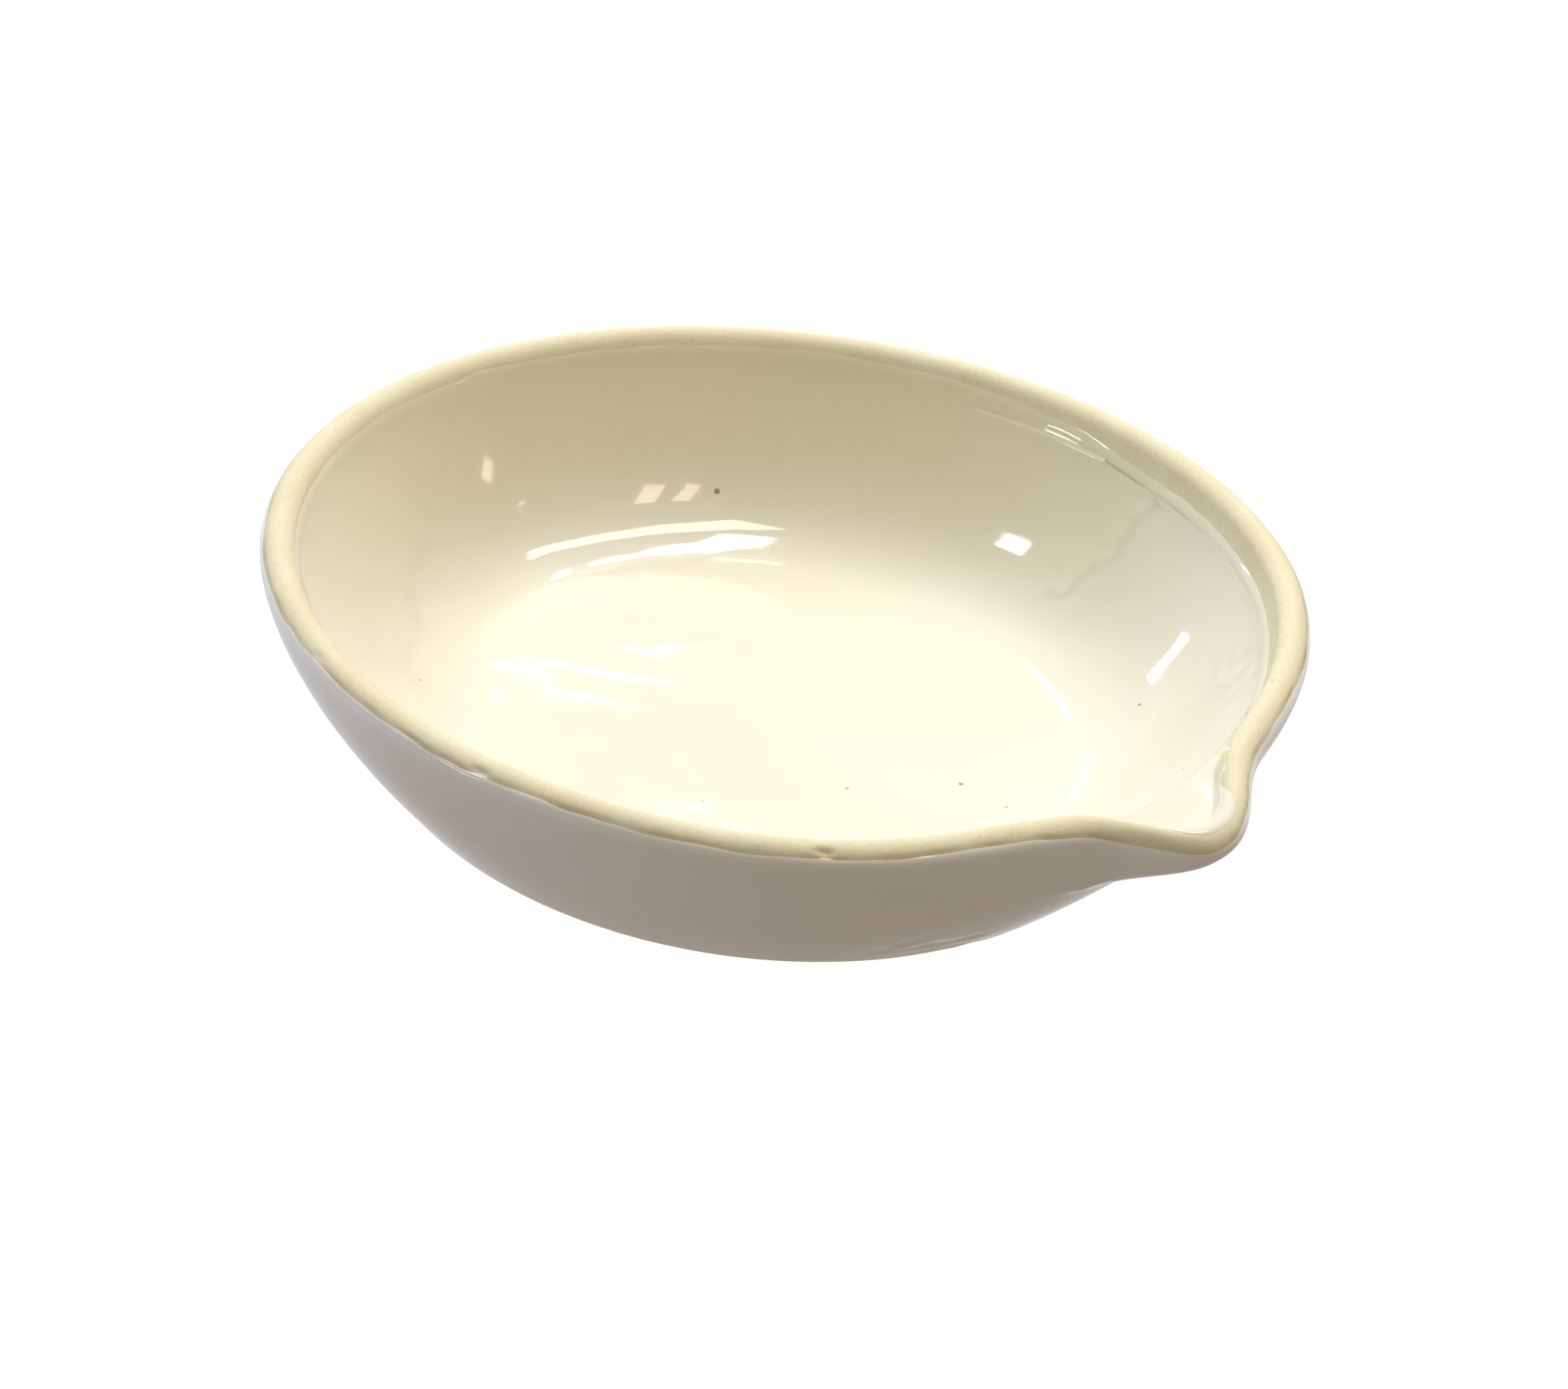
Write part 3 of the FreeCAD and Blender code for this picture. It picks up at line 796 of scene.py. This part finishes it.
def make_lights():
    """A bright window low behind the dish and long lights over it, which its glaze mirrors, a soft
    warm light from behind, a soft cool one from the left, and the small lamps and panes that the
    far wall mirrors."""
    ceiling_light("long light", (-0.13, 0.22), (-0.62, 0.75), 54.0, 18.0, WARM_WHITE)
    ceiling_light("far long light", (-0.60, 0.73), (-1.08, 1.02), 40.0, 18.0, WARM_WHITE)
    ceiling_light("window", (-1.32, 1.165), (-1.46, 1.165), 84.0, 20.0, WARM_WHITE)
    ceiling_light("overhead light", (0.08, 0.03), (0.02, 0.75), 110.0, 9.0, WARM_WHITE)
    key = lamp("soft key", towards(142.0, 50.0), 750.0, (560.0, 460.0), 3.9, WARM_KEY)
    key.visible_glossy = False
    cool = lamp("cool side light", towards(-150.0, 24.0), 800.0, (420.0, 260.0), 1.6, COOL_KEY)
    cool.visible_glossy = False
    lamp("left window", mirrored(62.5, 37.1), 700.0, (40.0, 125.0), 16.0, COOL_WHITE, 42.0)
    lamp("left lamp", mirrored(100.5, 37.0), 600.0, (64.0, 60.0), 24.0, COOL_WHITE, 20.0)
    lamp("low left lamp", mirrored(102.2, 48.2), 600.0, (90.0, 25.0), 16.0, COOL_WHITE)
    lamp("warm pane", mirrored(158.2, 35.4), 600.0, (44.0, 130.0), 8.0, PINK_WHITE, -35.0)
    lamp("second warm pane", mirrored(152.5, 35.4), 600.0, (36.0, 130.0), 8.0, PINK_WHITE, -35.0)
    lamp("third warm pane", mirrored(-176.2, 41.0), 600.0, (34.0, 26.0), 8.0, PINK_WHITE, 30.0)
    lamp("fourth warm pane", mirrored(179.8, 36.8), 600.0, (18.0, 12.0), 8.0, PINK_WHITE)


# The heading that the cool light comes from, and the colours of the light from all round.
COOL_HEADING = math.radians(170.0)
WARM_SIDE, COOL_SIDE, OVERHEAD = (0.20, 0.15, 0.045), (0.22, 0.24, 0.28), (0.25, 0.215, 0.13)
WARM_BELOW, COOL_BELOW, UNDER = (0.49, 0.43, 0.37), (1.12, 1.17, 1.25), (0.30, 0.24, 0.18)


def make_world():
    """Light from all round: warm on the lip's side, bluish on the other side, and brightest from
    low down, as off a pale table."""
    world = bpy.data.worlds.new("studio")
    world.use_nodes = True
    bpy.context.scene.world = world
    tree = world.node_tree
    background = tree.nodes["Background"]
    where = tree.nodes.new("ShaderNodeTexCoord")
    parts = tree.nodes.new("ShaderNodeSeparateXYZ")
    tree.links.new(where.outputs["Generated"], parts.inputs[0])
    side = tree.nodes.new("ShaderNodeVectorMath")
    side.operation = "DOT_PRODUCT"
    side.inputs[1].default_value = (math.cos(COOL_HEADING), math.sin(COOL_HEADING), 0.0)
    tree.links.new(where.outputs["Generated"], side.inputs[0])
    coolness = spread(tree, side.outputs["Value"], -1.0, 1.0, 0.0, 1.0)
    sides = mixed(tree, coolness, WARM_SIDE, COOL_SIDE)
    low_sides = mixed(tree, coolness, WARM_BELOW, COOL_BELOW)
    colour = mixed(tree, spread(tree, parts.outputs["Z"], -0.2, 0.2, 0.0, 1.0), low_sides, sides)
    colour = mixed(tree, spread(tree, parts.outputs["Z"], 0.3, 1.0, 0.0, 1.0), colour, OVERHEAD)
    colour = mixed(tree, spread(tree, parts.outputs["Z"], -0.95, -0.25, 1.0, 0.0), colour, UNDER)
    tree.links.new(colour, background.inputs["Color"])
    background.inputs["Strength"].default_value = 1.0


# The stage, in metres. The floor lies a hair below the foot, so that the two don't coincide.
FLOOR_REACH, FLOOR_GAP, BACKDROP_RADIUS = 3.0, 0.00005, 4.0
FLOOR_GREY, FLOOR_ROUGH, FLOOR_GLOW = 0.85, 0.9, 0.85
BACKDROP_GREY, BACKDROP_ROUGH, BACKDROP_GLOW = 0.0, 0.5, 1.3


def glowing(name, grey, rough, glow):
    """A grey without gloss that also gives off white light."""
    material, _, shader = material_nodes(name)
    shader.inputs["Base Color"].default_value = (grey, grey, grey, 1.0)
    shader.inputs["Roughness"].default_value = rough
    shader.inputs["Specular IOR Level"].default_value = 0.0
    shader.inputs["Emission Color"].default_value = (1.0, 1.0, 1.0, 1.0)
    shader.inputs["Emission Strength"].default_value = glow
    return material


def make_floor():
    """A white floor that takes the dish's shadow, and neither lights it nor is mirrored in it."""
    signs = ((-1, -1), (1, -1), (1, 1), (-1, 1))
    corners = [(x * FLOOR_REACH, y * FLOOR_REACH, -FLOOR_GAP) for x, y in signs]
    mesh = bpy.data.meshes.new("floor")
    mesh.from_pydata(corners, [], [(0, 1, 2, 3)])
    mesh.materials.append(glowing("white floor", FLOOR_GREY, FLOOR_ROUGH, FLOOR_GLOW))
    floor = bpy.data.objects.new("floor", mesh)
    floor.visible_diffuse = False
    floor.visible_glossy = False
    bpy.context.scene.collection.objects.link(floor)


def make_backdrop():
    """A white backdrop all round that neither lights nor shades the dish."""
    form = bmesh.new()
    bmesh.ops.create_icosphere(form, subdivisions=4, radius=BACKDROP_RADIUS)
    mesh = bpy.data.meshes.new("backdrop")
    form.to_mesh(mesh)
    form.free()
    mesh.materials.append(glowing("white backdrop", BACKDROP_GREY, BACKDROP_ROUGH, BACKDROP_GLOW))
    dome = bpy.data.objects.new("backdrop", mesh)
    for ray in ("visible_diffuse", "visible_glossy", "visible_transmission", "visible_shadow"):
        setattr(dome, ray, False)
    bpy.context.scene.collection.objects.link(dome)


make_camera()
make_lights()
make_world()
make_floor()
make_backdrop()
inner_look = glaze("inner glaze", INNER_PALE, INNER_DEEP, INNER_SPECKS)
outer_look = glaze("outer glaze", OUTER_PALE, OUTER_DEEP, [])
for piece, node, slot, material in (
        (porcelain(), "dish_body", "bare_porcelain", bare_porcelain()),
        (inner_coat(), "interior_glaze", "inner_glaze", inner_look),
        (outer_coat(), "exterior_glaze", "outer_glaze", outer_look)):
    piece.data.materials.append(material)
    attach(piece, "root")
    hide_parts(node)
bpy.context.scene.view_settings.view_transform = "Standard"
